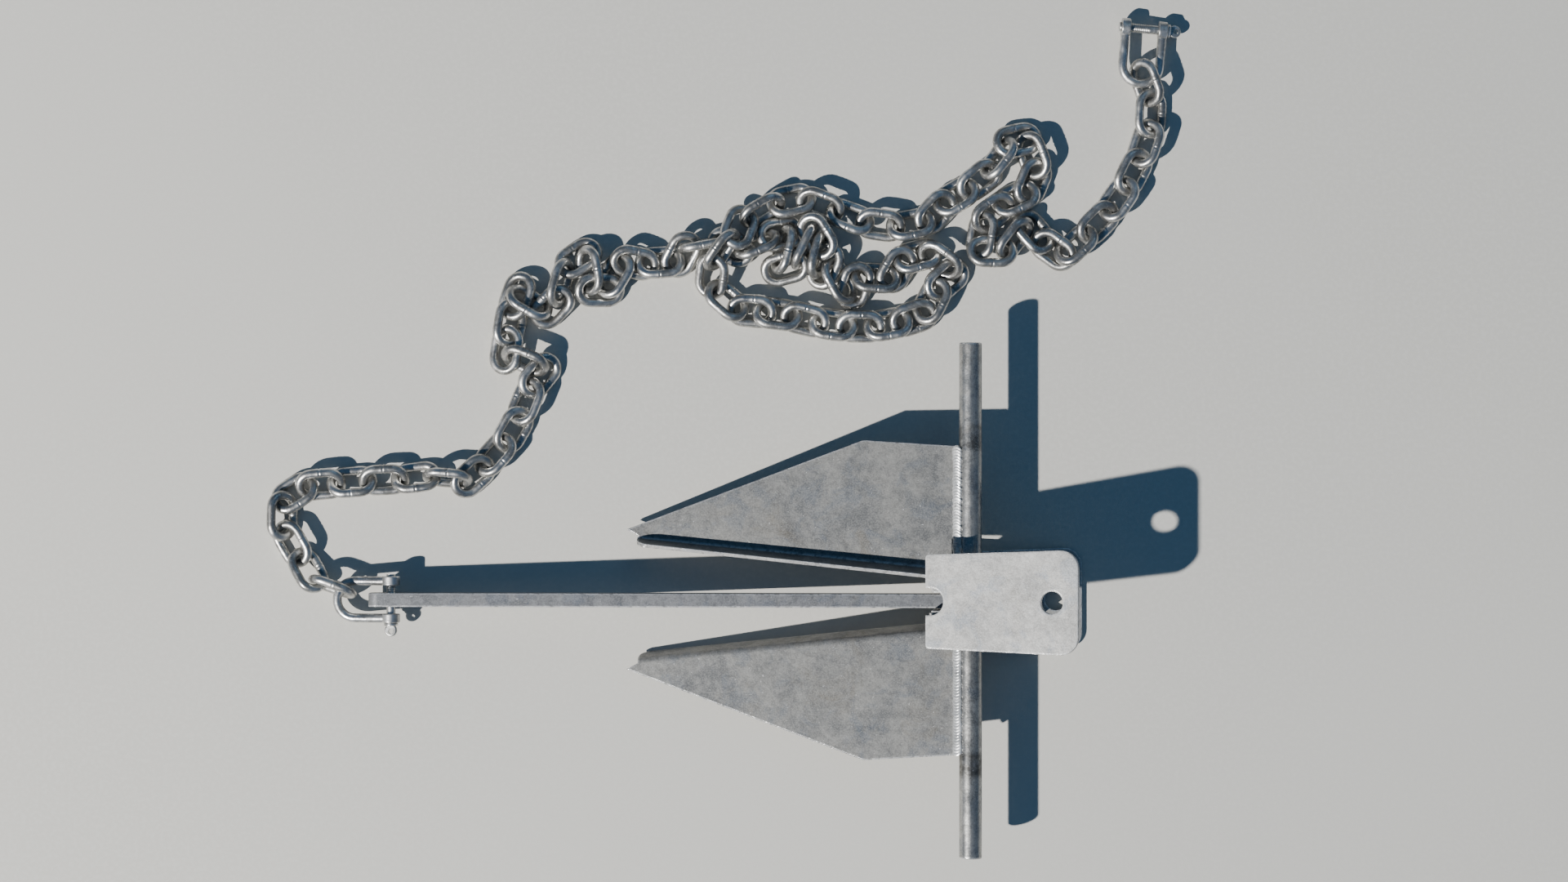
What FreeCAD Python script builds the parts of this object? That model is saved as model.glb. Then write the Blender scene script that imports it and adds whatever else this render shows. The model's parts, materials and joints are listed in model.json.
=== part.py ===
"""A galvanised fluke anchor with its two shackles and its short-link chain.

Units are millimetres.  +X runs from the shackle end of the shank to the crown, +Y to port,
+Z up.  The origin is on the ground, under the middle of the anchor.
"""
import FreeCAD, Part
import math
import os

V = FreeCAD.Vector
UP = V(0, 0, 1)
PORT = V(0, 1, 0)

# ---------------------------------------------------------------- driving dimensions

PLATE = 5.0                 # thickness of the crown plates and cheeks
FLUKE = 3.0                 # thickness of the flukes

STOCK_D = 20.0
STOCK_LENGTH = 454.0
STOCK_EDGE = 1.5            # rounding of the stock's ends

STOCK_X = 212.3             # the stock's axis, aft of the origin
CROWN_PITCH = 4.6           # degrees that the crown is tilted, fore end down, at rest
FLUKE_DROOP = 2.6           # degrees that the flukes are welded below the crown's middle plane

SHANK_REACH = 513.0         # stock axis to shackle pin
SHANK_NOSE = 19.0           # shackle pin to the shank's end
SHANK_DEPTH = 32.0
SHANK_THICK = 12.0
SHANK_CORNER = 9.0
SHANK_PIN_Z = 22.0          # height of the shackle pin above the ground
SHANK_EYE_R = 18.0
STOCK_CLEARANCE = 0.5       # radial play of the shank's eye on the stock

# flukes, in their own plane: x from the stock axis, y from the centre line
TIP_X, TIP_Y = -306.0, 62.0
SHOULDER_X, SHOULDER_Y = -95.0, 141.0
AFT_X, AFT_Y = -14.0, 136.0
BEND_FORE_X, BEND_FORE_Y = -296.0, 56.6
BEND_AFT_Y = 28.5
FLANGE_AFT = 20.0           # height of the stiffening flange at its aft end
FLANGE_LEAN = 16.0          # degrees that the flange leans in from square
FLANGE_ROUND = 12.0         # rounding of the flange's fore corner
BEND_R = 5.5

# crown plates: the outer face of the upper one, in the crown's own frame
PALM_FORE_X, PALM_FORE_Z = -38.0, 31.6
PALM_AFT_X, PALM_AFT_Z = 95.7, 60.8
PALM_FORE_WIDTH = 82.0
PALM_AFT_WIDTH = 92.0
PALM_CORNER = 16.0
PALM_HOLE_D = 20.0
PALM_HOLE_FROM_AFT = 23.5
NOTCH_WIDTH = 24.0
NOTCH_DEPTH = 16.0

CHEEK_GAP = 16.0            # clear width between the two cheeks
CHEEK_AFT_X = 62.0
CHEEK_HOLLOW = 26.0         # radius of the bay cut into the cheeks' aft edge

BEAD = 7.5                  # reach of the fillet welds from a fluke onto the stock
SEAM = 4.0                  # leg of the fillet welds under the crown plates
RING = 3.0                  # leg of the fillet welds between the cheeks and the stock

# D-shackles
WIRE = 8.0                  # diameter of the shackle's bow and of the chain's wire
JAW = 25.0                  # clear width of the shackle
BOW_REACH = 49.0            # pin axis to the middle of the bow's wire
EAR_D = 16.0
PIN_D = 8.0
PIN_CLEARANCE = 0.2
COLLAR_D, COLLAR_T = 12.5, 2.5
TAB_D, TAB_T, TAB_HOLE = 11.0, 4.0, 4.5
PIN_TAIL = 2.0              # pin that stands out past the threaded ear
ANCHOR_SHACKLE_DROP = 9.5  # degrees that the bow hangs below level
SHACKLE_PLAY = 1.8          # extra space between the anchor's shackle and the first link

# chain
LINK_LENGTH = 45.5          # outside
LINK_WIDTH = 31.0           # outside
GAP = 0.6                   # least space between two wires
GROUP = 8                   # links that share one node
FREE_LINKS = 6              # links at the free end that have a node each

# Where each link lies, from the anchor's shackle to the free end: the middle of the link,
# the way it points and how far its left side is raised, in degrees.
LINKS = [
    (-356, 6, 151, -55), (-377, 26, 118, 30), (-387, 52, 122, -42), (-401, 74, 84, 8),
    (-385, 94, 40, -46), (-366, 102, -2, 27), (-337, 104, 3, -32), (-306, 106, 1, 34),
    (-278, 108, 3, -36), (-249, 107, -6, 62), (-228, 109, 38, -12), (-208, 128, 50, -50),
    (-191, 150, 63, 15), (-181, 176, 75, -40), (-168, 200, 38, 8), (-181, 211, 166, -58),
    (-199, 222, 92, -44), (-195, 244, 84, 12), (-187, 270, 62, -40), (-179, 264, -20, -35),
    (-158, 260, 24, 5), (-149, 281, 83, 65), (-134, 303, 32, 20), (-125, 292, -88, 65),
    (-116, 274, 2, -5), (-102, 288, 42, -50), (-84, 299, -12, 12), (-62, 299, 2, -42),
    (-42, 306, 42, 0), (-23, 315, 15, 62), (1, 314, -41, 0), (22, 316, 22, -50),
    (46, 321, 0, 12), (49, 311, -105, 55), (49, 294, 12, -10), (66, 316, 62, 60),
    (78, 327, -35, 20), (78, 306, -108, -60), (86, 294, 65, -15), (98, 282, -40, -55),
    (111, 278, 80, -10), (129, 286, 2, -50), (148, 294, 35, 5), (167, 303, 3, -45),
    (185, 300, -35, 55), (192, 283, 30, 5), (181, 266, -118, 35),
    (164, 251, 192, -18), (141, 244, 183, 42), (116, 242, 181, -25), (92, 244, 181, 42),
    (67, 248, 168, -25), (42, 254, 178, 42), (20, 256, 174, -12), (-3, 264, 150, 45),
    (-17, 286, 92, -10), (-7, 309, 58, 62), (9, 330, 35, -5), (31, 345, 25, 58),
    (54, 352, 4, -42), (80, 350, -14, 45), (108, 339, -18, -45), (134, 332, -1, 15),
    (162, 332, 2, -50), (184, 345, 75, 15), (200, 356, 28, -45), (223, 373, 32, 10),
    (238, 391, 58, -50), (256, 408, 15, 40), (270, 394, -80, 38), (269, 369, -92, -5),
    (254, 357, 203, 60), (235, 343, 202, -10), (226, 324, -85, 45), (232, 307, 22, -20),
    (252, 321, 45, 60), (272, 327, -38, 5), (287, 309, -38, 40), (306, 315, 50, -45),
    (327, 334, 38, 5), (346, 355, 48, -45), (358, 379, 66, 8), (371, 405, 72, -45),
    (374, 432, 92, 42), (370, 459, 105, -42),
]
END_SHACKLE = (366, 482, 85, -168)

# Links that cross over another part of the chain start this much higher.
LIFTED = {37: 8, 55: 6, 56: 9, 57: 15, 58: 14, 59: 8}

# ---------------------------------------------------------------- values worked out

STOCK_R = STOCK_D / 2
PITCH = math.radians(CROWN_PITCH)
STOCK_Z = PALM_AFT_Z * math.cos(PITCH) - PALM_AFT_X * math.sin(PITCH)
SHANK_RUN = math.sqrt(SHANK_REACH ** 2 - (STOCK_Z - SHANK_PIN_Z) ** 2)
SHANK_SLOPE = math.degrees(math.asin((STOCK_Z - SHANK_PIN_Z) / SHANK_REACH))
PALM_SLOPE = math.degrees(math.atan2(PALM_AFT_Z - PALM_FORE_Z, PALM_AFT_X - PALM_FORE_X))
PALM_LENGTH = math.hypot(PALM_AFT_Z - PALM_FORE_Z, PALM_AFT_X - PALM_FORE_X)
ROUND_SHARE = FLANGE_ROUND / (AFT_X - BEND_FORE_X)
FLUKE_SLOPE = math.radians(CROWN_PITCH + FLUKE_DROOP)
ROUND_Z = STOCK_Z + (BEND_FORE_X + FLANGE_ROUND) * math.sin(FLUKE_SLOPE)
FLANGE_TOUCH = (ROUND_Z - FLANGE_ROUND) / math.cos(FLUKE_SLOPE) + FLANGE_ROUND
FLANGE_FORE = (FLANGE_TOUCH - ROUND_SHARE * (FLANGE_AFT + FLUKE / 2)) / (1 - ROUND_SHARE)
WIRE_R = WIRE / 2
LINK_BEND = (LINK_WIDTH - WIRE) / 2
LINK_HALF_LEG = (LINK_LENGTH - LINK_WIDTH) / 2
BOW_BEND = (JAW + WIRE) / 2
BOW_LEG = BOW_REACH - BOW_BEND


# ---------------------------------------------------------------- small helpers

def save(name, shape):
    shape.exportStep(os.path.join("parts", name + ".step"))


def polygon_prism(points, depth):
    """A prism from a closed outline of vectors, pushed along the vector depth."""
    return Part.Face(Part.makePolygon(points + [points[0]])).extrude(depth)


def mirrored(shape):
    """The port piece turned half round the X axis, which makes the starboard one."""
    turned = shape.copy()
    turned.rotate(V(0, 0, 0), V(1, 0, 0), 180)
    return turned


def drooped(shape):
    """Turns a piece from the plane of the flukes into the crown's own frame."""
    turned = shape.copy()
    turned.rotate(V(0, 0, 0), PORT, -FLUKE_DROOP)
    return turned


def at_crown(shape):
    """Moves a piece from the crown's own frame to where the crown rests."""
    placed = shape.copy()
    placed.rotate(V(0, 0, 0), PORT, -CROWN_PITCH)
    placed.translate(V(STOCK_X, 0, STOCK_Z))
    return placed


# ---------------------------------------------------------------- shank

def shank():
    """A flat bar on edge, from its eye round the stock to its nose ahead of the shackle pin."""
    half = SHANK_DEPTH / 2
    length = SHANK_REACH + SHANK_NOSE
    bar = Part.makeBox(length, SHANK_THICK, SHANK_DEPTH, V(-length, -SHANK_THICK / 2, -half))
    nose = [e for e in bar.Edges
            if all(abs(p.Point.x + length) < 0.01 for p in e.Vertexes)
            and abs(e.Vertexes[0].Z - e.Vertexes[1].Z) < 0.01]
    bar = bar.makeFillet(SHANK_CORNER, nose)
    eye = Part.makeCylinder(SHANK_EYE_R, SHANK_THICK, V(0, -SHANK_THICK / 2, 0), PORT)
    stock_hole = Part.makeCylinder(STOCK_R + STOCK_CLEARANCE, STOCK_D,
                                   V(0, -STOCK_R, 0), PORT)
    pin_hole = Part.makeCylinder(PIN_D / 2 + 2 * PIN_CLEARANCE, STOCK_D,
                                 V(-SHANK_REACH, -STOCK_R, 0), PORT)
    body = bar.fuse(eye).cut(stock_hole).cut(pin_hole).removeSplitter()
    body.rotate(V(0, 0, 0), PORT, -SHANK_SLOPE)
    body.translate(V(STOCK_X, 0, STOCK_Z))
    return body


# ---------------------------------------------------------------- crown

def stock_rod():
    rod = Part.makeCylinder(STOCK_R, STOCK_LENGTH, V(0, -STOCK_LENGTH / 2, 0), PORT)
    rims = [e for e in rod.Edges if e.Curve.TypeId == "Part::GeomCircle"]
    return rod.makeFillet(STOCK_EDGE, rims)


def fluke_plate():
    """The flat of the port fluke."""
    half = FLUKE / 2
    outline = [V(TIP_X, TIP_Y, -half), V(SHOULDER_X, SHOULDER_Y, -half),
               V(AFT_X, AFT_Y, -half), V(AFT_X, BEND_AFT_Y, -half),
               V(BEND_FORE_X, BEND_FORE_Y, -half)]
    plate = polygon_prism(outline, V(0, 0, FLUKE))
    corner = [e for e in plate.Edges
              if all(abs(v.X - SHOULDER_X) < 0.01 for v in e.Vertexes)]
    return plate.makeFillet(6.0, corner)


def flange_section(x, y, height):
    """Cross-section of the bend and the flange at one end of the fluke's inner edge.

    The flange's edge is height above the middle of the plate."""
    turn = math.pi / 2 - math.radians(FLANGE_LEAN)
    inner_r = BEND_R - FLUKE
    centre = V(x, y, FLUKE / 2 + inner_r)

    def rim(radius, angle):
        return centre + V(0, -radius * math.sin(angle), -radius * math.cos(angle))

    along = V(0, -math.cos(turn), math.sin(turn))
    rise = (height - rim(inner_r, turn).z) / math.sin(turn)
    outer = Part.Arc(rim(BEND_R, 0), rim(BEND_R, turn / 2), rim(BEND_R, turn)).toShape()
    inner = Part.Arc(rim(inner_r, turn), rim(inner_r, turn / 2), rim(inner_r, 0)).toShape()
    top_outer = rim(BEND_R, turn) + along * rise
    top_inner = rim(inner_r, turn) + along * rise
    edges = [outer, Part.makeLine(rim(BEND_R, turn), top_outer),
             Part.makeLine(top_outer, top_inner), Part.makeLine(top_inner, rim(inner_r, turn)),
             inner, Part.makeLine(rim(inner_r, 0), rim(BEND_R, 0))]
    return Part.Wire(edges)


def flange_corner():
    """What is cut away to round the flange's fore corner."""
    r = FLANGE_ROUND
    block = Part.makeBox(2 * r, 6 * r, 2 * r,
                         V(BEND_FORE_X - r, BEND_FORE_Y - 5 * r, FLANGE_TOUCH - r))
    wheel = Part.makeCylinder(r, 8 * r, V(BEND_FORE_X + r, BEND_FORE_Y - 6 * r,
                                          FLANGE_TOUCH - r), PORT)
    return block.cut(wheel)


def fluke():
    """The port fluke: a plate with its inner edge folded up as a stiffening flange."""
    fore = flange_section(BEND_FORE_X, BEND_FORE_Y, FLANGE_FORE)
    aft = flange_section(AFT_X, BEND_AFT_Y, FLANGE_AFT + FLUKE / 2)
    flange = Part.makeLoft([fore, aft], True, True).cut(flange_corner())
    return fluke_plate().fuse(flange).removeSplitter()


def palm():
    """The upper crown plate: a tapered plate with a notch for the shank and a rigging hole."""
    fore, aft = PALM_FORE_WIDTH / 2, PALM_AFT_WIDTH / 2
    outline = [V(0, -fore, 0), V(PALM_LENGTH, -aft, 0), V(PALM_LENGTH, aft, 0), V(0, fore, 0)]
    plate = polygon_prism(outline, V(0, 0, -PLATE))
    corners = [e for e in plate.Edges
               if all(abs(v.X - PALM_LENGTH) < 0.01 for v in e.Vertexes)
               and abs(e.Vertexes[0].Z - e.Vertexes[1].Z) > 1]
    plate = plate.makeFillet(PALM_CORNER, corners)
    fore_corners = [e for e in plate.Edges
                    if all(abs(v.X) < 0.01 for v in e.Vertexes)
                    and abs(e.Vertexes[0].Z - e.Vertexes[1].Z) > 1]
    plate = plate.makeFillet(3.0, fore_corners)
    half = NOTCH_WIDTH / 2
    slot = Part.makeBox(NOTCH_DEPTH - half + 1, NOTCH_WIDTH, 3 * PLATE,
                        V(-1, -half, -2 * PLATE))
    slot_end = Part.makeCylinder(half, 3 * PLATE, V(NOTCH_DEPTH - half, 0, -2 * PLATE), UP)
    hole = Part.makeCylinder(PALM_HOLE_D / 2, 3 * PLATE,
                             V(PALM_LENGTH - PALM_HOLE_FROM_AFT, 0, -2 * PLATE), UP)
    plate = plate.cut(slot).cut(slot_end).cut(hole)
    plate.rotate(V(0, 0, 0), PORT, -PALM_SLOPE)
    plate.translate(V(PALM_FORE_X, 0, PALM_FORE_Z))
    return plate


def palm_inner_z(x):
    """Height of the upper crown plate's inner face above the stock axis."""
    slope = math.radians(PALM_SLOPE)
    return PALM_FORE_Z - PLATE / math.cos(slope) + (x - PALM_FORE_X) * math.tan(slope)


def cheek():
    """The port cheek: a web between the two crown plates, with the stock through it."""
    fore_x = PALM_FORE_X + PLATE
    top_fore, top_aft = palm_inner_z(fore_x), palm_inner_z(CHEEK_AFT_X)
    y = CHEEK_GAP / 2
    outline = [V(fore_x, y, -top_fore), V(CHEEK_AFT_X, y, -top_aft),
               V(CHEEK_AFT_X, y, top_aft), V(fore_x, y, top_fore)]
    web = polygon_prism(outline, V(0, PLATE, 0))
    bay = Part.makeCylinder(CHEEK_HOLLOW, 3 * PLATE,
                            V(CHEEK_AFT_X + CHEEK_HOLLOW / 3, y - PLATE, 0), PORT)
    bore = Part.makeCylinder(STOCK_R, 3 * PLATE, V(0, y - PLATE, 0), PORT)
    return web.cut(bay).cut(bore)


def fluke_bead(rod):
    """The welds above and below the port fluke, between its aft edge and the stock."""
    half = FLUKE / 2
    start = BEND_AFT_Y + BEND_R
    upper = [V(AFT_X, start, half), V(AFT_X - 2.5, start, half),
             V(AFT_X - 1.0, start, half + 1.8), V(AFT_X + BEAD, start, half + 5.8)]
    lower = [V(p.x, p.y, -p.z) for p in reversed(upper)]
    prism = polygon_prism(upper + lower, V(0, AFT_Y - start, 0))
    return prism.cut(rod)


def seam_beads():
    """Four fillet welds, on both sides of each cheek, under the upper crown plate."""
    fore_x = PALM_FORE_X + PLATE + 1
    aft_x = CHEEK_AFT_X - 1
    beads = []
    for y, out in ((CHEEK_GAP / 2 + PLATE, 1), (-CHEEK_GAP / 2 - PLATE, -1)):
        bottom = [V(fore_x, y, palm_inner_z(fore_x)),
                  V(fore_x, y + out * SEAM, palm_inner_z(fore_x)),
                  V(fore_x, y, palm_inner_z(fore_x) - SEAM)]
        run = V(aft_x - fore_x, 0, palm_inner_z(aft_x) - palm_inner_z(fore_x))
        beads.append(polygon_prism(bottom, run))
    return beads


def collar_beads(side):
    """The weld ring where the stock leaves a cheek, on its outer face."""
    y = side * (CHEEK_GAP / 2 + PLATE)
    ring = Part.makeCone(STOCK_R + RING, STOCK_R + 0.6, RING, V(0, y, 0), V(0, side, 0))
    bore = Part.makeCylinder(STOCK_R, 3 * RING, V(0, y - side, 0), V(0, side, 0))
    return ring.cut(bore)


def make_crown():
    rod = stock_rod()
    port_fluke = fluke()
    upper = palm()
    port_cheek = cheek()
    bead = fluke_bead(rod)
    pieces = {
        "stock_rod": rod,
        "fluke_port": drooped(port_fluke),
        "fluke_starboard": drooped(mirrored(port_fluke)),
        "crown_plate_upper": upper,
        "crown_plate_lower": mirrored(upper),
        "crown_cheek_port": port_cheek,
        "crown_cheek_starboard": mirrored(port_cheek),
        "weld_fluke_port": drooped(bead),
        "weld_fluke_starboard": drooped(mirrored(bead)),
        "weld_crown_upper": Part.Compound(seam_beads()),
        "weld_crown_lower": Part.Compound([mirrored(b) for b in seam_beads()]),
        "weld_stock_port": collar_beads(1),
        "weld_stock_starboard": collar_beads(-1),
    }
    for name, piece in pieces.items():
        save(name, at_crown(piece))


# ---------------------------------------------------------------- shackles

def shackle_bow():
    """The bow, with its pin axis on Y through the origin and its crown towards +X."""
    bend = BOW_BEND
    path = Part.Wire([
        Part.makeLine(V(0, bend, 0), V(BOW_LEG, bend, 0)),
        Part.Arc(V(BOW_LEG, bend, 0), V(BOW_REACH, 0, 0), V(BOW_LEG, -bend, 0)).toShape(),
        Part.makeLine(V(BOW_LEG, -bend, 0), V(0, -bend, 0))])
    wire_end = Part.Wire(Part.makeCircle(WIRE_R, V(0, bend, 0), V(1, 0, 0)))
    bow = path.makePipeShell([wire_end], True, False)
    for side in (1, -1):
        ear = Part.makeCylinder(EAR_D / 2, WIRE, V(0, side * bend - WIRE_R, 0), PORT)
        rims = [e for e in ear.Edges if e.Curve.TypeId == "Part::GeomCircle"]
        bow = bow.fuse(ear.makeFillet(1.0, rims))
    bore = Part.makeCylinder(PIN_D / 2 + PIN_CLEARANCE, 2 * JAW, V(0, -JAW, 0), PORT)
    return bow.cut(bore).removeSplitter()


def shackle_pin():
    """The screw pin, on Y, with its collar and tab on the -Y side."""
    outside = BOW_BEND + WIRE_R
    seat = -outside - PIN_CLEARANCE
    stem = Part.makeCylinder(PIN_D / 2, 2 * outside + PIN_TAIL, V(0, seat, 0), PORT)
    collar = Part.makeCylinder(COLLAR_D / 2, COLLAR_T, V(0, seat - COLLAR_T, 0), PORT)
    rims = [e for e in collar.Edges if e.Curve.TypeId == "Part::GeomCircle"]
    collar = collar.makeFillet(0.8, rims)
    tab_y = seat - COLLAR_T - TAB_D / 2 + 1.5
    tab = Part.makeCylinder(TAB_D / 2, TAB_T, V(0, tab_y, -TAB_T / 2), UP)
    rims = [e for e in tab.Edges if e.Curve.TypeId == "Part::GeomCircle"]
    tab = tab.makeFillet(1.2, rims)
    eye = Part.makeCylinder(TAB_HOLE / 2, 2 * TAB_T, V(0, tab_y - 1.0, -TAB_T), UP)
    return stem.fuse(collar).fuse(tab).cut(eye).removeSplitter()


# ---------------------------------------------------------------- chain

class Ring:
    """A straight-sided loop of wire, with its middle, its long axis and its side axis.

    share is its part of each push (0 when it can't move), floor the least height of its
    middle line and play the extra space that others leave round it."""

    def __init__(self, middle, along, side, half_leg, bend, share=1.0, floor=WIRE_R, play=0.0):
        self.middle = middle
        self.along = along
        self.side = side
        self.half_leg = half_leg
        self.bend = bend
        self.share = share
        self.floor = floor
        self.play = play
        self.home = V(middle)

    def points(self, count=22):
        """Points spaced round the middle of the wire."""
        result = []
        for i in range(count):
            angle = 2 * math.pi * (i + 0.5) / count
            c, s = math.cos(angle), math.sin(angle)
            leg = math.copysign(self.half_leg, c) if abs(c) > 0.35 else self.half_leg * c / 0.35
            result.append(self.middle + self.along * (leg + self.bend * c)
                          + self.side * (self.bend * s))
        return result

    def nearest(self, point):
        """The point of the wire's middle line nearest to a point."""
        rel = point - self.middle
        a = rel.dot(self.along)
        b = rel.dot(self.side)
        leg = max(-self.half_leg, min(self.half_leg, a))
        reach = math.hypot(a - leg, b) or 1e-9
        scale = self.bend / reach
        return (self.middle + self.along * (leg + (a - leg) * scale) + self.side * (b * scale))

    def lowest(self):
        """The lowest point of the wire's middle line."""
        tilt = math.hypot(self.along.z, self.side.z) or 1e-9
        leg = -math.copysign(self.half_leg, self.along.z) if abs(self.along.z) > 0.01 else 0.0
        return (self.middle + self.along * (leg - self.bend * self.along.z / tilt)
                - self.side * (self.bend * self.side.z / tilt))

    def push(self, point, amount):
        """Moves the ring as a push by the vector amount at a point would."""
        turn = (point - self.middle).cross(amount) * (1.0 / TURN_RADIUS ** 2)
        self.middle = self.middle + amount
        if turn.Length > 1e-9:
            spin = FreeCAD.Rotation(turn, math.degrees(turn.Length))
            self.along = spin.multVec(self.along)
            self.side = spin.multVec(self.side)


TURN_RADIUS = 15.0          # radius of gyration of a link
SINK = 0.16                 # fall of each link in one round of settling
ROUNDS = 200
LAST_ROUNDS = 240           # rounds with no fall, which only part the wires


def separate(one, other, least):
    """Pushes two rings apart where their wires are closer than least."""
    if (one.middle - other.middle).Length > one.half_leg + one.bend + other.half_leg \
            + other.bend + least:
        return 0.0
    worst = 0.0
    for a, b in ((one, other), (other, one)):
        total = a.share + b.share
        best = None
        for p in a.points():
            q = b.nearest(p)
            gap = (p - q).Length
            if gap < least and (best is None or gap < best[0]):
                best = (gap, p, q)
        if best is None or total == 0:
            continue
        p, q = best[1:]
        for _ in range(3):
            p = a.nearest(q)
            q = b.nearest(p)
        gap = (p - q).Length
        if gap >= least:
            continue
        away = (p - q) * (1.0 / max(gap, 1e-6))
        arm_a = (p - a.middle).cross(away).Length / TURN_RADIUS
        arm_b = (q - b.middle).cross(away).Length / TURN_RADIUS
        give = a.share * (1 + arm_a ** 2) + b.share * (1 + arm_b ** 2)
        step = (least - gap) / give
        a.push(p, away * (step * a.share))
        b.push(q, away * (-step * b.share))
        worst = max(worst, least - gap)
    return worst


def settle(rings, least):
    """Lets the rings down onto the ground and each other, near where they were put."""
    pairs = [(i, j) for i in range(len(rings)) for j in range(i + 1, len(rings))
             if (rings[i].home - rings[j].home).Length < 1.7 * LINK_LENGTH]
    worst = 0.0
    for turn in range(ROUNDS + LAST_ROUNDS):
        worst = 0.0
        falling = turn < ROUNDS
        for ring in rings:
            if ring.share == 0:
                continue
            if falling:
                drift = ring.home - ring.middle
                ring.middle = ring.middle + V(0.04 * drift.x, 0.04 * drift.y, -SINK)
            low = ring.lowest()
            if low.z < ring.floor:
                arm = math.hypot(low.x - ring.middle.x, low.y - ring.middle.y) / TURN_RADIUS
                ring.push(low, UP * ((ring.floor - low.z) / (1 + arm ** 2)))
        for i, j in pairs:
            space = least + rings[i].play + rings[j].play
            worst = max(worst, separate(rings[i], rings[j], space))
    return worst


def ring_at(x, y, z, heading, lean, half_leg, bend, share=1.0):
    h, r = math.radians(heading), math.radians(lean)
    along = V(math.cos(h), math.sin(h), 0)
    level = V(-math.sin(h), math.cos(h), 0)
    return Ring(V(x, y, z), along, level * math.cos(r) + UP * math.sin(r), half_leg, bend, share)


def ring_solid(ring):
    """The wire of a chain link."""
    a, s, m = ring.along, ring.side, ring.middle
    leg, bend = a * ring.half_leg, s * ring.bend
    tip = a * ring.bend
    path = Part.Wire([
        Part.makeLine(m - leg + bend, m + leg + bend),
        Part.Arc(m + leg + bend, m + leg + tip, m + leg - bend).toShape(),
        Part.makeLine(m + leg - bend, m - leg - bend),
        Part.Arc(m - leg - bend, m - leg - tip, m - leg + bend).toShape()])
    start = Part.Wire(Part.makeCircle(WIRE_R, m - leg + bend, a))
    return path.makePipeShell([start], True, False)


def shackle_frame(ring):
    """Placement that carries a shackle from the origin to a ring's place."""
    pin = ring.middle - ring.along * (BOW_REACH / 2)
    normal = ring.along.cross(ring.side)
    turn = FreeCAD.Rotation(ring.along, ring.side, normal, "XYZ")
    return FreeCAD.Placement(pin, turn)


def place_shackle(name, ring):
    frame = shackle_frame(ring)
    for part, shape in (("bow", shackle_bow()), ("pin", shackle_pin())):
        shape.Placement = frame
        save(name + "_" + part, shape)


def anchor_shackle_ring():
    """The anchor's shackle as a ring that the chain settles against and that stays put."""
    drop = math.radians(ANCHOR_SHACKLE_DROP)
    pin = V(STOCK_X - SHANK_RUN, 0, SHANK_PIN_Z)
    along = V(-math.cos(drop), 0, -math.sin(drop))
    half_leg = BOW_REACH / 2 - BOW_BEND
    return Ring(pin + along * (BOW_REACH / 2), along, PORT, half_leg, BOW_BEND, share=0.0,
                play=SHACKLE_PLAY)


def end_shackle_ring():
    x, y, heading, lean = END_SHACKLE
    ring = ring_at(x, y, LINK_BEND, heading + 180, lean, BOW_REACH / 2 - BOW_BEND, BOW_BEND)
    ring.floor = EAR_D / 2 + 1.5
    return ring


def make_chain():
    rings = [anchor_shackle_ring()]
    for number, (x, y, heading, lean) in enumerate(LINKS, 1):
        height = WIRE_R + LINK_BEND * 0.7 + LIFTED.get(number, 0)
        rings.append(ring_at(x, y, height, heading, lean, LINK_HALF_LEG, LINK_BEND))
    rings.append(end_shackle_ring())
    left = settle(rings, WIRE + GAP)
    print("chain settled, closest wires are %.2f mm apart" % (WIRE + GAP - left))
    place_shackle("anchor_shackle", rings[0])
    place_shackle("end_shackle", rings[-1])
    links = rings[1:-1]
    grouped = len(links) - FREE_LINKS
    for first in range(0, grouped, GROUP):
        batch = links[first:min(first + GROUP, grouped)]
        name = "chain_links_%02d_%02d" % (first + 1, first + len(batch))
        save(name, Part.Compound([ring_solid(r) for r in batch]))
    for number in range(grouped, len(links)):
        save("chain_link_%02d" % (number + 1), ring_solid(links[number]))


os.makedirs("parts", exist_ok=True)
save("shank", shank())
make_crown()
make_chain()
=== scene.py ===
"""Looks for the galvanised fluke anchor, its shackles and its chain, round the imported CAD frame."""
import json
import math
import random

import bpy
import bmesh
import numpy as np
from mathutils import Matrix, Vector


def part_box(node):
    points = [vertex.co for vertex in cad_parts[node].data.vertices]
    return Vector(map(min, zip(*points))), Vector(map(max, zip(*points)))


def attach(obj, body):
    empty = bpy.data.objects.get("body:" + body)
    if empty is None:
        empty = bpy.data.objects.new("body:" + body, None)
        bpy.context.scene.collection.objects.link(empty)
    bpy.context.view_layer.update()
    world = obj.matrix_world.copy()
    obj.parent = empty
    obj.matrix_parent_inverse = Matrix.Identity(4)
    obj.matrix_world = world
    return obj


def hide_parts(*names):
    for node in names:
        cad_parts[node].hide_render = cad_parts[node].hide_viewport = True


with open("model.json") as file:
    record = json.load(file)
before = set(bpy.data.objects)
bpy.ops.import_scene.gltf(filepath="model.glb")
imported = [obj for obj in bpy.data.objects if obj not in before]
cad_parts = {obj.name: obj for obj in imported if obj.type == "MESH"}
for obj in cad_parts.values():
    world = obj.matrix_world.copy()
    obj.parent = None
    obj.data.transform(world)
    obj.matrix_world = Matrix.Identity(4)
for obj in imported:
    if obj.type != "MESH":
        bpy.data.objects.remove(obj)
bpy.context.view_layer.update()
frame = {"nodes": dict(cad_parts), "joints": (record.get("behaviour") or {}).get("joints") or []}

MM = 0.001
nodes = frame["nodes"]
joints = {j["name"]: j for j in frame["joints"]}

# ---------------------------------------------------------------- sizes, in metres

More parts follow.
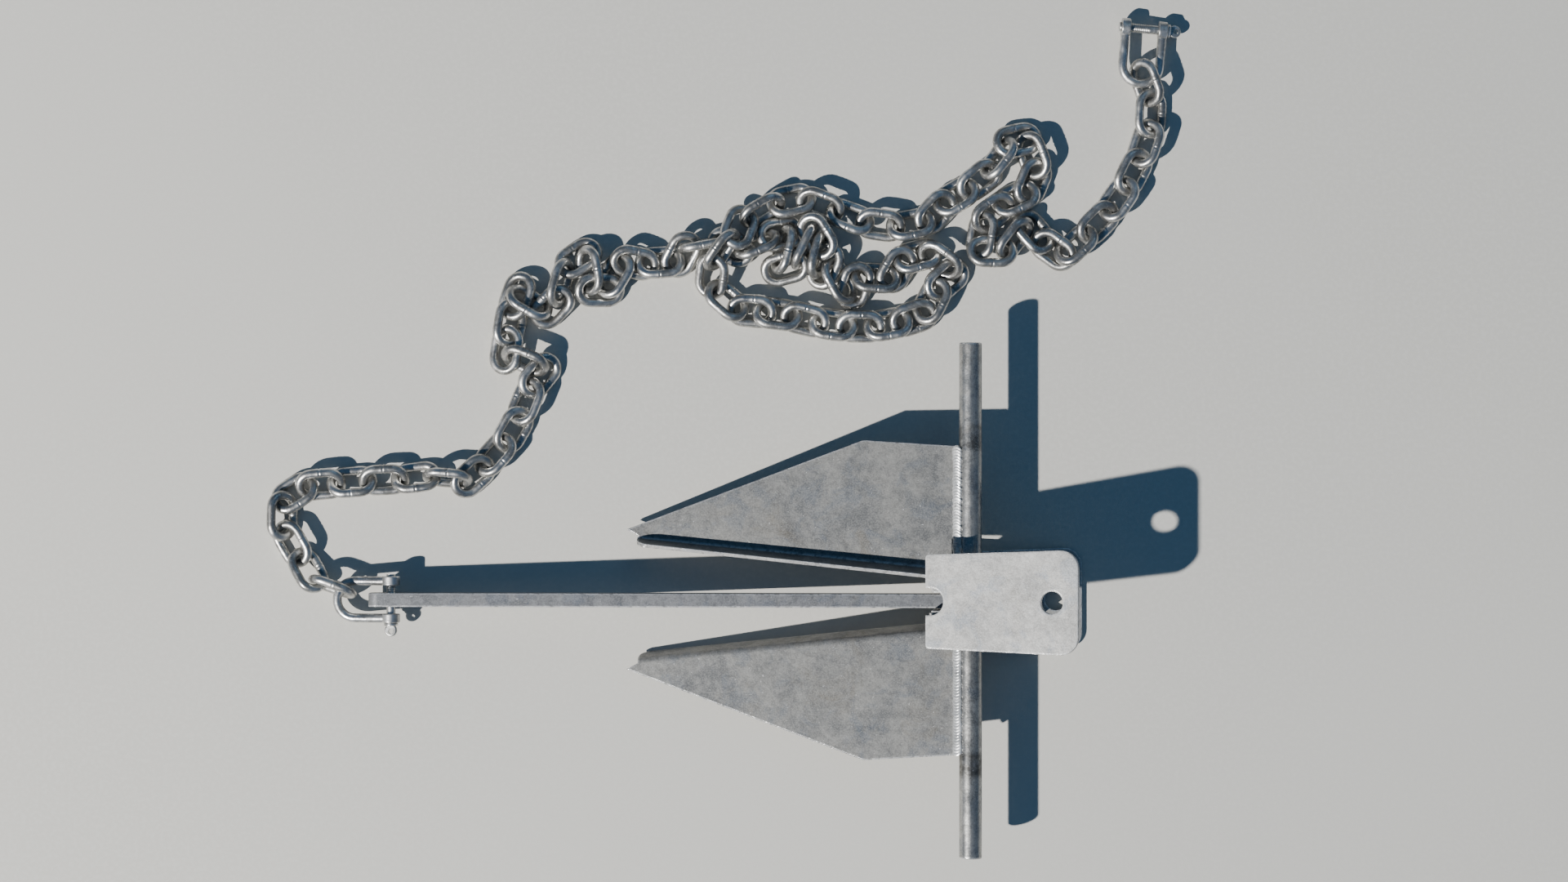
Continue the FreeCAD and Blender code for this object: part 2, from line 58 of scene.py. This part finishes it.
STOCK_AXIS = Vector(joints["crown_tilt"]["pos_m"])
FLUKE_HALF = 1.5 * MM                # half the thickness of a fluke
FLUKE_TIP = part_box("fluke_port")[0]  # the tip is the foremost and the lowest point
FLUKE_SLOPE = math.atan2(STOCK_AXIS.z - FLUKE_TIP.z - FLUKE_HALF, STOCK_AXIS.x - FLUKE_TIP.x)
WIRE_R = 4.0 * MM                    # chain wire
LINK_BEND = 11.5 * MM                # centre-line radius of a link's ends
LINK_LEG = 7.25 * MM                 # half the straight part of a link's side
THREAD_PITCH = 1.25 * MM
THREAD_START = 4.0 * MM              # from the middle of the shackle towards the pin's head
THREAD_END = 22.0 * MM               # and towards its tail
EDGE_WEAR_AND_HIGHLIGHT = 2.2 * MM                 # how far the bright edges, partly worn zinc and partly a painted highlight, reach from a plate's edges
SOOT_HALF = 7.0 * MM                 # half the width of the dark bands beside the fluke welds

CAMERA_AT = (0.0483, 0.1404)         # the camera looks straight down
CAMERA_HEIGHT = 4.362
CAMERA_LENS = 112.5                  # on a sensor 36 mm wide
LIGHT_AIM = Vector((0.03, 0.12, 0.0))
KEY_FROM = Vector((-0.885, -0.625, 1.0)) * 5.6  # from the aim, along the photo's shadows
KEY_SIZE = 0.16                      # small, because the photo's shadows are sharp
KEY_POWER = 1290
KEY_COLOUR = (1.0, 0.975, 0.94)
FILL_AT = (1.6, 2.4, 2.6)
FILL_SIZE = 1.8
FILL_POWER = 4
FILL_COLOUR = (0.5, 0.78, 1.0)
SKY_COLOUR = (0.17, 0.49, 1.0, 1.0)  # blue, because the photo's shadows are
SKY_STRENGTH = 0.15
FLOOR_HALF = 6.0


# ---------------------------------------------------------------- material helpers

class Nodes:
    """A material's node tree, with short calls that add and join nodes."""

    def __init__(self, name):
        self.material = bpy.data.materials.new(name)
        self.material.use_nodes = True
        self.tree = self.material.node_tree
        self.tree.nodes.clear()
        self.coords = self.add("ShaderNodeTexCoord").outputs["Object"]
        self.rounded = None

    def add(self, kind, **settings):
        node = self.tree.nodes.new(kind)
        for key, value in settings.items():
            setattr(node, key, value)
        return node

    def link(self, source, socket):
        self.tree.links.new(source, socket)

    def fill(self, socket, value):
        if isinstance(value, bpy.types.NodeSocket):
            self.link(value, socket)
        else:
            socket.default_value = value

    def noise(self, scale, detail=4.0, rough=0.55, distortion=0.0, stretch=(1, 1, 1)):
        where = self.add("ShaderNodeMapping")
        where.inputs["Scale"].default_value = stretch
        self.link(self.coords, where.inputs["Vector"])
        node = self.add("ShaderNodeTexNoise")
        self.link(where.outputs["Vector"], node.inputs["Vector"])
        node.inputs["Scale"].default_value = scale
        node.inputs["Detail"].default_value = detail
        node.inputs["Roughness"].default_value = rough
        node.inputs["Distortion"].default_value = distortion
        return node.outputs["Fac"]

    def ramp(self, value, low, high, start=0.0, end=1.0):
        node = self.add("ShaderNodeMapRange", clamp=True, interpolation_type="SMOOTHSTEP")
        self.link(value, node.inputs["Value"])
        for key, number in (("From Min", low), ("From Max", high),
                            ("To Min", start), ("To Max", end)):
            node.inputs[key].default_value = number
        return node.outputs["Result"]

    def math(self, operation, a, b=0.0):
        node = self.add("ShaderNodeMath", operation=operation)
        self.fill(node.inputs[0], a)
        self.fill(node.inputs[1], b)
        return node.outputs[0]

    def mix(self, factor, a, b):
        node = self.add("ShaderNodeMix", data_type="RGBA")
        self.fill(node.inputs["Factor"], factor)
        for name, value in (("A", a), ("B", b)):
            socket = [s for s in node.inputs if s.name == name and s.type == "RGBA"][0]
            self.fill(socket, value if isinstance(value, bpy.types.NodeSocket) else (*value, 1.0))
        return [s for s in node.outputs if s.type == "RGBA"][0]

    def edges(self, radius):
        """1 along sharp edges, 0 farther than radius from them; edges also shade as rounded."""
        bevel = self.add("ShaderNodeBevel", samples=4)
        bevel.inputs["Radius"].default_value = radius
        self.rounded = bevel.outputs["Normal"]
        flat = self.add("ShaderNodeNewGeometry")
        dot = self.add("ShaderNodeVectorMath", operation="DOT_PRODUCT")
        self.link(self.rounded, dot.inputs[0])
        self.link(flat.outputs["Normal"], dot.inputs[1])
        return self.ramp(dot.outputs["Value"], 0.9995, 0.965)

    def near_sides(self, distance, half):
        """1 where the object's |y| is within half of distance, fading out over twice half."""
        split = self.add("ShaderNodeSeparateXYZ")
        self.link(self.coords, split.inputs["Vector"])
        off = self.math("SUBTRACT", self.math("ABSOLUTE", split.outputs["Y"]), distance)
        return self.ramp(self.math("ABSOLUTE", off), half, 2 * half, 1.0, 0.0)

    def threads(self, joint, start, end, pitch):
        """Ridges round a pin that turns on joint, from start to end along its axis."""
        offset = self.add("ShaderNodeVectorMath", operation="SUBTRACT")
        self.link(self.coords, offset.inputs[0])
        offset.inputs[1].default_value = joint["pos_m"]
        along = self.add("ShaderNodeVectorMath", operation="DOT_PRODUCT")
        self.link(offset.outputs["Vector"], along.inputs[0])
        along.inputs[1].default_value = joint["axis"]
        place = along.outputs["Value"]
        wave = self.math("SINE", self.math("MULTIPLY", place, 2 * math.pi / pitch))
        middle, half = (start + end) / 2, abs(end - start) / 2
        off = self.math("ABSOLUTE", self.math("SUBTRACT", place, middle))
        return self.math("MULTIPLY", wave, self.ramp(off, half, 1.1 * half, 1.0, 0.0))

    def finish(self, colour, roughness, metallic, bumps):
        """bumps: pairs of height socket and depth in metres."""
        shader = self.add("ShaderNodeBsdfPrincipled")
        out = self.add("ShaderNodeOutputMaterial")
        self.link(colour, shader.inputs["Base Color"])
        self.fill(shader.inputs["Roughness"], roughness)
        self.fill(shader.inputs["Metallic"], metallic)
        normal = self.rounded
        for height, depth in bumps:
            bump = self.add("ShaderNodeBump")
            bump.inputs["Strength"].default_value = 1.0
            bump.inputs["Distance"].default_value = depth
            self.link(height, bump.inputs["Height"])
            if normal is not None:
                self.link(normal, bump.inputs["Normal"])
            normal = bump.outputs["Normal"]
        if normal is not None:
            self.link(normal, shader.inputs["Normal"])
        self.link(shader.outputs["BSDF"], out.inputs["Surface"])
        return self.material


# ---------------------------------------------------------------- materials

def scaled(colour, factor):
    return tuple(min(1.0, c * factor) for c in colour)


def old_zinc(n, cloud, dark, light, stain):
    """From dark to light by cloud, with bright, bluish and brown patches, mottle and grain."""
    patch = n.ramp(n.noise(85, 5, 0.65, 0.3), 0.4, 0.6)
    tone = n.mix(cloud, dark, light)
    tone = n.mix(n.math("MULTIPLY", patch, 0.5), tone, scaled(light, 1.3))
    cold = n.ramp(n.noise(42, 5, 0.6, 0.8), 0.5, 0.64)
    blue = (dark[0] * 0.74, dark[1] * 0.9, dark[2] * 1.15)
    tone = n.mix(n.math("MULTIPLY", cold, 0.45), tone, blue)
    brown = n.ramp(n.noise(14, 6, 0.66, 1.2), 0.54, 0.72)
    rust = (dark[0] * 1.2, dark[1] * 1.0, dark[2] * 0.72)
    tone = n.mix(n.math("MULTIPLY", brown, stain), tone, rust)
    mottle = n.ramp(n.noise(230, 5, 0.72), 0.44, 0.6)
    tone = n.mix(n.math("MULTIPLY", mottle, 0.38), tone, scaled(dark, 0.7))
    grain = n.ramp(n.noise(820, 3, 0.65), 0.42, 0.62)
    return n.mix(n.math("MULTIPLY", grain, 0.34), tone, scaled(light, 1.7))


def with_soot(n, tone, distance):
    """Two ragged dark bands across the part, where its |y| is about distance."""
    ragged = n.ramp(n.noise(70, 5, 0.7), 0.32, 0.6, 0.2, 1.0)
    band = n.math("MULTIPLY", n.near_sides(distance, SOOT_HALF), ragged)
    return n.mix(n.math("MULTIPLY", band, 0.75), tone, (0.045, 0.04, 0.033))


def galvanised_plate(name, dark, light, stain, metallic=0.35, rough=(0.42, 0.6), soot_at=None):
    """Old hot-dip zinc: soft grey and bluish clouds, fine grain, stains, painted glints, and rough
    bright edges that are partly worn zinc and partly a painted highlight.

    soot_at: the |y| of a dark band on each side, or None."""
    n = Nodes(name)
    cloud = n.ramp(n.noise(24, 4, 0.55, 0.5), 0.38, 0.62)
    tone = old_zinc(n, cloud, dark, light, stain)
    if soot_at:
        tone = with_soot(n, tone, soot_at)
    broken = n.ramp(n.noise(240, 3, 0.6), 0.36, 0.52, 0.2, 1.0)
    edge_wear_and_highlight = n.math("MULTIPLY", n.edges(EDGE_WEAR_AND_HIGHLIGHT), broken)
    # the edges are painted near white: partly rough worn zinc, partly a painted highlight
    tone = n.mix(edge_wear_and_highlight, tone, (0.9, 0.9, 0.89))
    # small white flecks all over: painted glints
    painted_glint = n.ramp(n.noise(520, 2, 0.5), 0.70, 0.78)
    tone = n.mix(n.math("MULTIPLY", painted_glint, 0.5), tone, (0.85, 0.86, 0.86))
    roughness = n.ramp(n.noise(48, 4, 0.6), 0.3, 0.7, rough[0], rough[1])
    roughness = n.math("SUBTRACT", roughness, n.math("MULTIPLY", edge_wear_and_highlight, rough[0] - 0.2))
    metal = n.ramp(cloud, 0.0, 1.0, metallic, metallic + 0.15)
    metal = n.math("MAXIMUM", metal, n.math("MULTIPLY", edge_wear_and_highlight, 0.4))
    chips = n.math("MULTIPLY", edge_wear_and_highlight, n.noise(420, 2, 0.5))
    return n.finish(tone, roughness, metal,
                    [(n.noise(22, 2, 0.5), 0.5 * MM), (n.noise(110, 3, 0.55), 0.14 * MM),
                     (n.noise(640, 2, 0.5), 0.06 * MM), (chips, 0.35 * MM)])


def galvanised_weld():
    """Weld beads under zinc: grey and lighter patches, with sooty spots and painted glints."""
    n = Nodes("weld_zinc")
    patch = n.ramp(n.noise(70, 4, 0.6), 0.35, 0.65)
    tone = n.mix(patch, (0.42, 0.43, 0.43), (0.74, 0.745, 0.74))
    soot = n.ramp(n.noise(150, 4, 0.65), 0.58, 0.72)
    tone = n.mix(n.math("MULTIPLY", soot, 0.5), tone, (0.09, 0.085, 0.08))
    glint = n.ramp(n.noise(330, 2, 0.5), 0.6, 0.7)
    tone = n.mix(n.math("MULTIPLY", glint, 0.5), tone, (0.88, 0.88, 0.88))
    roughness = n.ramp(n.noise(90, 3, 0.5), 0.3, 0.7, 0.3, 0.52)
    return n.finish(tone, roughness, n.ramp(patch, 0, 1, 0.45, 0.7),
                    [(n.noise(260, 3, 0.6), 0.2 * MM)])


def bright_zinc(name, dark, light, pin=None):
    """Newer zinc: brighter and smoother, with dull grey smears, dirt and glints.

    pin: the joint of a screw pin, which gets threads with painted shade in their grooves."""
    n = Nodes(name)
    smear = n.ramp(n.noise(62, 5, 0.6, 0.8), 0.38, 0.62)
    tone = n.mix(smear, dark, light)
    dull = n.ramp(n.noise(18, 3, 0.5), 0.5, 0.66)
    tone = n.mix(n.math("MULTIPLY", dull, 0.35), tone, scaled(dark, 0.8))
    dirt = n.ramp(n.noise(260, 5, 0.7), 0.58, 0.72)
    tone = n.mix(n.math("MULTIPLY", dirt, 0.6), tone, (0.08, 0.072, 0.062))
    glint = n.ramp(n.noise(480, 2, 0.5), 0.6, 0.7)
    tone = n.mix(n.math("MULTIPLY", glint, 0.4), tone, (0.92, 0.92, 0.92))
    roughness = n.ramp(n.noise(95, 4, 0.6), 0.3, 0.7, 0.27, 0.46)
    bumps = [(n.noise(150, 3, 0.5), 0.2 * MM), (n.noise(620, 2, 0.5), 0.06 * MM)]
    if pin:
        ridges = n.threads(pin, -THREAD_END, THREAD_START, THREAD_PITCH)
        # the thread grooves are painted darker: painted shade
        tone = n.mix(n.ramp(ridges, 0.0, -1.0, 0.0, 0.45), tone, scaled(dark, 0.3))
        bumps.append((ridges, 0.12 * MM))
    return n.finish(tone, roughness, n.ramp(smear, 0, 1, 0.85, 0.97), bumps)


def floor_material():
    """Pale matt floor with faint clouds and grain."""
    n = Nodes("pale_floor")
    cloud = n.ramp(n.noise(1.2, 3, 0.5), 0.35, 0.65)
    tone = n.mix(cloud, (0.630, 0.617, 0.568), (0.655, 0.642, 0.593))
    tone = n.mix(n.ramp(n.noise(260, 2, 0.5), 0.4, 0.7), tone, (0.665, 0.652, 0.603))
    return n.finish(tone, 0.85, 0.0, [(n.noise(500, 2, 0.5), 0.05 * MM)])


SOOT_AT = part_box("weld_fluke_port")[1].y + 8 * MM
PLATE_ZINC = galvanised_plate("plate_zinc", (0.118, 0.122, 0.125), (0.212, 0.211, 0.202), stain=0.55)
SHANK_ZINC = galvanised_plate("shank_zinc", (0.11, 0.115, 0.123), (0.195, 0.2, 0.208), stain=0.25)
STOCK_ZINC = galvanised_plate("stock_zinc", (0.17, 0.171, 0.168), (0.36, 0.358, 0.345), stain=0.2,
                              metallic=0.7, rough=(0.26, 0.42), soot_at=SOOT_AT)
# lighter than the flukes' zinc: partly its own tone, partly painted light, because the upper crown
# plate faces the key light
PALM_ZINC = galvanised_plate("palm_zinc", (0.30, 0.298, 0.289), (0.405, 0.402, 0.388), stain=0.15,
                             metallic=0.3, rough=(0.45, 0.62))
WELD_ZINC = galvanised_weld()
CHAIN_ZINC = bright_zinc("chain_zinc", (0.29, 0.286, 0.272), (0.62, 0.614, 0.59))
SHACKLE_ZINC = bright_zinc("shackle_zinc", (0.34, 0.34, 0.33), (0.70, 0.70, 0.69))
PIN_TONES = ((0.36, 0.36, 0.345), (0.74, 0.74, 0.73))
ANCHOR_PIN_ZINC = bright_zinc("anchor_pin_zinc", *PIN_TONES, pin=joints["anchor_pin_turn"])
END_PIN_ZINC = bright_zinc("end_pin_zinc", *PIN_TONES, pin=joints["end_pin_turn"])

NODE_MATERIAL = {
    "shank": SHANK_ZINC,
    "stock_rod": STOCK_ZINC,
    "fluke_port": PLATE_ZINC,
    "fluke_starboard": PLATE_ZINC,
    "crown_plate_upper": PALM_ZINC,
    "crown_plate_lower": PALM_ZINC,
    "crown_cheek_port": PLATE_ZINC,
    "crown_cheek_starboard": PLATE_ZINC,
    "anchor_shackle_bow": SHACKLE_ZINC,
    "anchor_shackle_pin": ANCHOR_PIN_ZINC,
    "end_shackle_bow": SHACKLE_ZINC,
    "end_shackle_pin": END_PIN_ZINC,
}


def paint(obj, material):
    obj.data.materials.clear()
    obj.data.materials.append(material)


# ---------------------------------------------------------------- mesh helpers

def new_object(name, verts, faces, material, smooth=True):
    """An object of one material, with its faces turned outwards."""
    mesh = bpy.data.meshes.new(name)
    mesh.from_pydata([tuple(v) for v in verts], [], faces)
    bm = bmesh.new()
    bm.from_mesh(mesh)
    bmesh.ops.recalc_face_normals(bm, faces=bm.faces)
    bm.to_mesh(mesh)
    bm.free()
    for polygon in mesh.polygons:
        polygon.use_smooth = smooth
    obj = bpy.data.objects.new(name, mesh)
    bpy.context.scene.collection.objects.link(obj)
    paint(obj, material)
    return obj


def tube(rings):
    """Vertices and faces of a closed loop of rings of points."""
    count, sides = len(rings), len(rings[0])
    verts = [p for ring in rings for p in ring]
    faces = [(i * sides + j, i * sides + (j + 1) % sides,
              (i + 1) % count * sides + (j + 1) % sides, (i + 1) % count * sides + j)
             for i in range(count) for j in range(sides)]
    return verts, faces


# ---------------------------------------------------------------- chain

LINK_SIDES = 14
ARC_STEPS = 14
PLAIN_STEPS = 6                      # along the leg without the weld
WELD_STEPS = 22                      # along the leg with the weld
WELD_HALF = 2.4 * MM                 # half the length of the swelling where a link was closed
WELD_RISE = 0.3 * MM
SEAM_HALF = 0.55 * MM                # half the width of the crease in its middle
SEAM_DEPTH = 0.6 * MM


def islands(bm):
    """The faces of a mesh as lists, one for each separate closed surface."""
    seen, found = set(), []
    for start in bm.faces:
        if start.index in seen:
            continue
        stack, members = [start], []
        seen.add(start.index)
        while stack:
            face = stack.pop()
            members.append(face)
            for edge in face.edges:
                for other in edge.link_faces:
                    if other.index not in seen:
                        seen.add(other.index)
                        stack.append(other)
        found.append(members)
    return found


def link_frame(faces):
    """The middle, long axis, side axis and normal of the link that has these faces."""
    weights = np.array([f.calc_area() for f in faces])
    centres = np.array([f.calc_center_median() for f in faces])
    middle = (centres * weights[:, None]).sum(0) / weights.sum()
    spread = (centres - middle) * np.sqrt(weights)[:, None]
    axes = np.linalg.eigh(spread.T @ spread)[1]
    along, side = Vector(axes[:, 2]), Vector(axes[:, 1])
    return Vector(middle), along, side, along.cross(side)


def link_frames(node):
    """The frame of each link in a CAD node, in the node's order."""
    bm = bmesh.new()
    bm.from_mesh(nodes[node].data)
    bmesh.ops.remove_doubles(bm, verts=bm.verts, dist=0.01 * MM)
    bm.faces.ensure_lookup_table()
    frames = [link_frame(faces) for faces in islands(bm)]
    bm.free()
    return frames


def link_stations(weld_at):
    """Points round a link's centre line: place, outward direction and extra radius of the wire.

    Each pass adds one bend and the leg that follows it; the first leg has the weld."""
    stations = []
    for end, steps in ((1, WELD_STEPS), (-1, PLAIN_STEPS)):
        for i in range(ARC_STEPS):
            angle = math.pi * (i / ARC_STEPS - end / 2)
            out = Vector((math.cos(angle), math.sin(angle)))
            stations.append((Vector((end * LINK_LEG, 0)) + out * LINK_BEND, out, 0.0))
        for i in range(steps):
            x = end * LINK_LEG * (1 - 2 * i / steps)
            swell = WELD_RISE * math.exp(-((x - weld_at) / WELD_HALF) ** 2)
            crease = SEAM_DEPTH * math.exp(-((x - weld_at) / SEAM_HALF) ** 2)
            extra = swell - crease if end == 1 else 0.0
            stations.append((Vector((x, end * LINK_BEND)), Vector((0, end)), extra))
    return stations


def link_rings(middle, along, side, normal, seed):
    """Rings of points round the wire of one link, with its weld on one leg."""
    rng = random.Random(seed)
    ovality = 1 + rng.uniform(-0.012, 0.012)
    rings = []
    for place, out, extra in link_stations(rng.uniform(-1.5, 1.5) * MM):
        core = middle + along * place.x + side * place.y
        radial = along * out.x + side * out.y
        radius = WIRE_R * ovality + extra
        rings.append([core + radial * (radius * math.cos(t)) + normal * (radius * math.sin(t))
                      for t in (2 * math.pi * k / LINK_SIDES for k in range(LINK_SIDES))])
    return rings


def make_links(name, frames, seed):
    """One piece with a link at each frame."""
    verts, faces = [], []
    for i, frame_of_link in enumerate(frames):
        link_verts, link_faces = tube(link_rings(*frame_of_link, seed + i))
        faces += [tuple(corner + len(verts) for corner in quad) for quad in link_faces]
        verts += link_verts
    return new_object(name, verts, faces, CHAIN_ZINC)


def chain_piece(name, frames, seed, cad_nodes, body):
    """One piece of chain that stands for CAD nodes and rides on their body."""
    piece = make_links(name, frames, seed)
    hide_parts(*cad_nodes)
    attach(piece, body)
    return piece


def make_chain():
    """The laid chain as one piece, and each swinging link as its own."""
    groups = sorted(n for n in nodes if n.startswith("chain_links_"))
    singles = sorted(n for n in nodes if n.startswith("chain_link_"))
    frames = [link for group in groups for link in link_frames(group)]
    laid = chain_piece("chain_laid", frames, 100, groups, "shank")
    swinging = [chain_piece("swing_" + single, link_frames(single), 300 + i, [single], single)
                for i, single in enumerate(singles)]


# ---------------------------------------------------------------- fluke welds

BEAD_STEP = 2.6 * MM                 # from one ripple to the next
BEAD_CUTS = 6                        # rings in one ripple
BEAD_SIDES = 16
BEAD_HALF = 4.9 * MM                 # half the width of the bead's face
BEAD_CROWN = 2.3 * MM                # rise of the bead's face
BEAD_BOW = 2.6 * MM                  # how far each ripple bows along the bead
BEAD_TILT = math.radians(30)         # slope of the bead's face, from the fluke up to the stock
BEAD_MIDDLE = Vector((-11.2, 4.9)) * MM  # from the stock's axis, along and above the fluke
BEAD_TAPER = 5                       # rings over which a bead's ends close


def crown_point(x, y, z):
    """From the plane of the flukes, with the stock axis at its origin, to the row frame."""
    c, s = math.cos(FLUKE_SLOPE), math.sin(FLUKE_SLOPE)
    return STOCK_AXIS + Vector((x * c - z * s, y, x * s + z * c))


def bead_ring(y, bow, width, lift, face):
    """One ring round a bead, bowed by bow along the stock where the bead's face is highest."""
    chord = Vector((math.cos(BEAD_TILT), math.sin(BEAD_TILT)))
    rise = Vector((-chord.y, chord.x))
    ring = []
    for k in range(BEAD_SIDES):
        angle = 2 * math.pi * k / BEAD_SIDES
        across = chord * (BEAD_HALF * width * math.cos(angle))
        flat = BEAD_MIDDLE + across + rise * (BEAD_CROWN * lift * math.sin(angle))
        ring.append(crown_point(flat.x, y + bow * max(0, math.sin(angle)) ** 2, face * flat.y))
    return ring


def bead_rings(start, end, face, seed):
    """The rings of one bead: each ripple grows to its end, then drops back to the next one."""
    rng = random.Random(seed)
    way = math.copysign(1, end - start)
    count = round(abs(end - start) / BEAD_STEP) * BEAD_CUTS
    swell = [rng.uniform(0.9, 1.08) for _ in range(count // BEAD_CUTS + 1)]
    rings = []
    for i in range(count + 1):
        phase = (i % BEAD_CUTS) / BEAD_CUTS
        ripple = i // BEAD_CUTS
        taper = math.sqrt(max(0.02, min(1, i / BEAD_TAPER, (count - i) / BEAD_TAPER)))
        lift = swell[ripple] * (0.84 + 0.26 * phase ** 0.6) * taper
        width = swell[ripple] * (0.96 + 0.06 * phase) * taper
        y = start + (end - start) * i / count
        rings.append(bead_ring(y, way * BEAD_BOW * taper, width, lift, face))
    return rings


def weld_bead(name, start, end, face, seed):
    """One rippled bead along the stock, on the upper (face 1) or lower (face -1) side of a fluke."""
    verts, faces = tube(bead_rings(start, end, face, seed))
    faces = faces[:-BEAD_SIDES]
    faces.append(tuple(range(BEAD_SIDES)))
    faces.append(tuple(range(len(verts) - BEAD_SIDES, len(verts))))
    bead = new_object(name, verts, faces, WELD_ZINC)
    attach(bead, "crown")
    return bead


def make_fluke_welds():
    """A bead above and a bead below each fluke, where the CAD has one weld node."""
    for i, side in enumerate(("port", "starboard")):
        node = "weld_fluke_" + side
        low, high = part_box(node)
        inner, outer = sorted((low.y, high.y), key=abs)
        for j, face in enumerate((1, -1)):
            label = "weld_bead_%s_%s" % (side, ("top", "under")[j])
            bead = weld_bead(label, inner, outer, face, 40 + 2 * i + j)
            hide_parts(node)


# ---------------------------------------------------------------- stage, light, camera

def make_floor():
    verts = [(x * FLOOR_HALF, y * FLOOR_HALF, 0) for x, y in ((-1, -1), (1, -1), (1, 1), (-1, 1))]
    floor = new_object("floor", verts, [(0, 1, 2, 3)], floor_material(), smooth=False)


def area_light(name, position, size, power, colour):
    """A square light that shines at LIGHT_AIM."""
    data = bpy.data.lights.new(name, "AREA")
    data.energy = power
    data.size = size
    data.color = colour
    lamp = bpy.data.objects.new(name, data)
    lamp.location = position
    lamp.rotation_mode = "QUATERNION"
    lamp.rotation_quaternion = (LIGHT_AIM - Vector(position)).to_track_quat("-Z", "Y")
    bpy.context.scene.collection.objects.link(lamp)


def make_light():
    """A small key light for the photo's hard shadows, a weak fill and a dim sky."""
    area_light("key", LIGHT_AIM + KEY_FROM, KEY_SIZE, KEY_POWER, KEY_COLOUR)
    area_light("fill", FILL_AT, FILL_SIZE, FILL_POWER, FILL_COLOUR)
    world = bpy.data.worlds.new("studio")
    world.use_nodes = True
    background = world.node_tree.nodes["Background"]
    background.inputs["Color"].default_value = SKY_COLOUR
    background.inputs["Strength"].default_value = SKY_STRENGTH
    bpy.context.scene.world = world


def make_camera():
    data = bpy.data.cameras.new("camera")
    data.lens = CAMERA_LENS
    data.sensor_width = 36.0
    data.clip_start = 0.1
    data.clip_end = 30.0
    camera = bpy.data.objects.new("camera", data)
    camera.location = (*CAMERA_AT, CAMERA_HEIGHT)
    bpy.context.scene.collection.objects.link(camera)
    bpy.context.scene.camera = camera


def paint_nodes():
    """New materials for the CAD nodes that stay."""
    for name, material in NODE_MATERIAL.items():
        paint(nodes[name], material)
    for name in nodes:
        if name.startswith(("weld_crown", "weld_stock")):
            paint(nodes[name], WELD_ZINC)


make_camera()
make_chain()
make_fluke_welds()
paint_nodes()
make_floor()
make_light()
